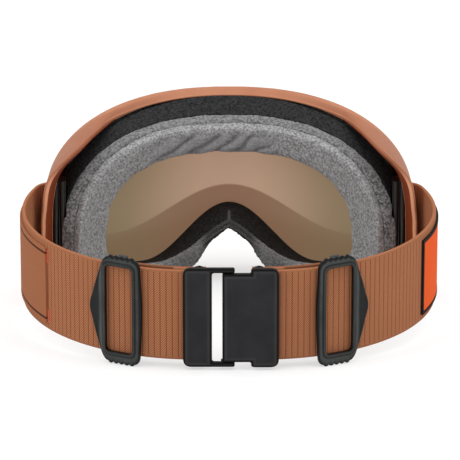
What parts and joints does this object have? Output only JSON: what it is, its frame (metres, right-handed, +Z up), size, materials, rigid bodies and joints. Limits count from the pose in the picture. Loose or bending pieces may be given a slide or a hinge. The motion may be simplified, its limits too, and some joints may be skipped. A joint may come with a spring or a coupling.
{
  "type": "snow goggles",
  "caption": "Snow goggles with a moulded frame, a double curved lens, layered face foam and an elastic strap that closes behind the head with a hook clip.",
  "frame": {"origin": "on the table under the middle of the goggles, half way between the clip and the front of the frame", "axes": "+X across the face to the side of the hook, +Y forward out of the lens, +Z up from the cheeks to the brow"},
  "size_m": [0.1804, 0.1728, 0.0856],
  "materials": {
    "frame_shell": "moulded soft frame, satin terracotta",
    "outer_tint": "tinted copper lens",
    "inner_tint": "clear anti-fog lens over the copper tint",
    "seal_foam": "closed-cell foam, matt",
    "vent_foam": "open-cell foam, matt",
    "black_foam": "open-cell foam, matt",
    "grey_foam": "foam with fibres, matt",
    "grey_fleece": "short fleece, matt",
    "black_moulding": "satin moulding",
    "webbing": "ribbed elastic webbing",
    "slider_moulding": "satin moulding",
    "clip_moulding": "satin moulding",
    "patch_rust": "woven patch",
    "patch_black": "woven border",
    "patch_orange": "woven patch"
  },
  "bodies": {
    "goggles": {"frame": "frame_shell", "outer_lens": "outer_tint", "inner_lens": "inner_tint", "lens_seal": "seal_foam", "vent_foam_top": "vent_foam", "vent_foam_bottom": "vent_foam", "base_foam": "black_foam", "middle_foam": "grey_foam", "face_fleece": "grey_fleece", "anchor_left": "black_moulding", "anchor_right": "black_moulding", "strap_left": "webbing", "strap_right": "webbing", "clip_loop": "clip_moulding", "patch_left": "patch_rust", "patch_right_border": "patch_black", "patch_right_field": "patch_orange"},
    "slider_left_set": {"slider_left": "slider_moulding", "strap_return_left": "webbing"},
    "slider_right_set": {"slider_right": "slider_moulding", "strap_return_right": "webbing"},
    "clip_side": {"clip_hook": "clip_moulding", "strap_clip_side": "webbing"}
  },
  "joints": [
    {"name": "slider_left_turn", "type": "hinge", "parent": "goggles", "child": "slider_left_set", "pos_m": [-0.0132, -0.00303, 0.01162], "axis": [0, 0.1045, -0.9945], "range_deg": [-4, 20]},
    {"name": "slider_right_turn", "type": "hinge", "parent": "goggles", "child": "slider_right_set", "pos_m": [0.0132, -0.00303, 0.01162], "axis": [0, -0.1045, 0.9945], "range_deg": [-4, 20]},
    {"name": "clip_release", "type": "hinge", "parent": "goggles", "child": "clip_side", "pos_m": [0.029, -0.07696, 0.00385], "axis": [0, -0.1045, 0.9945], "range_deg": [0, 55]}
  ]
}
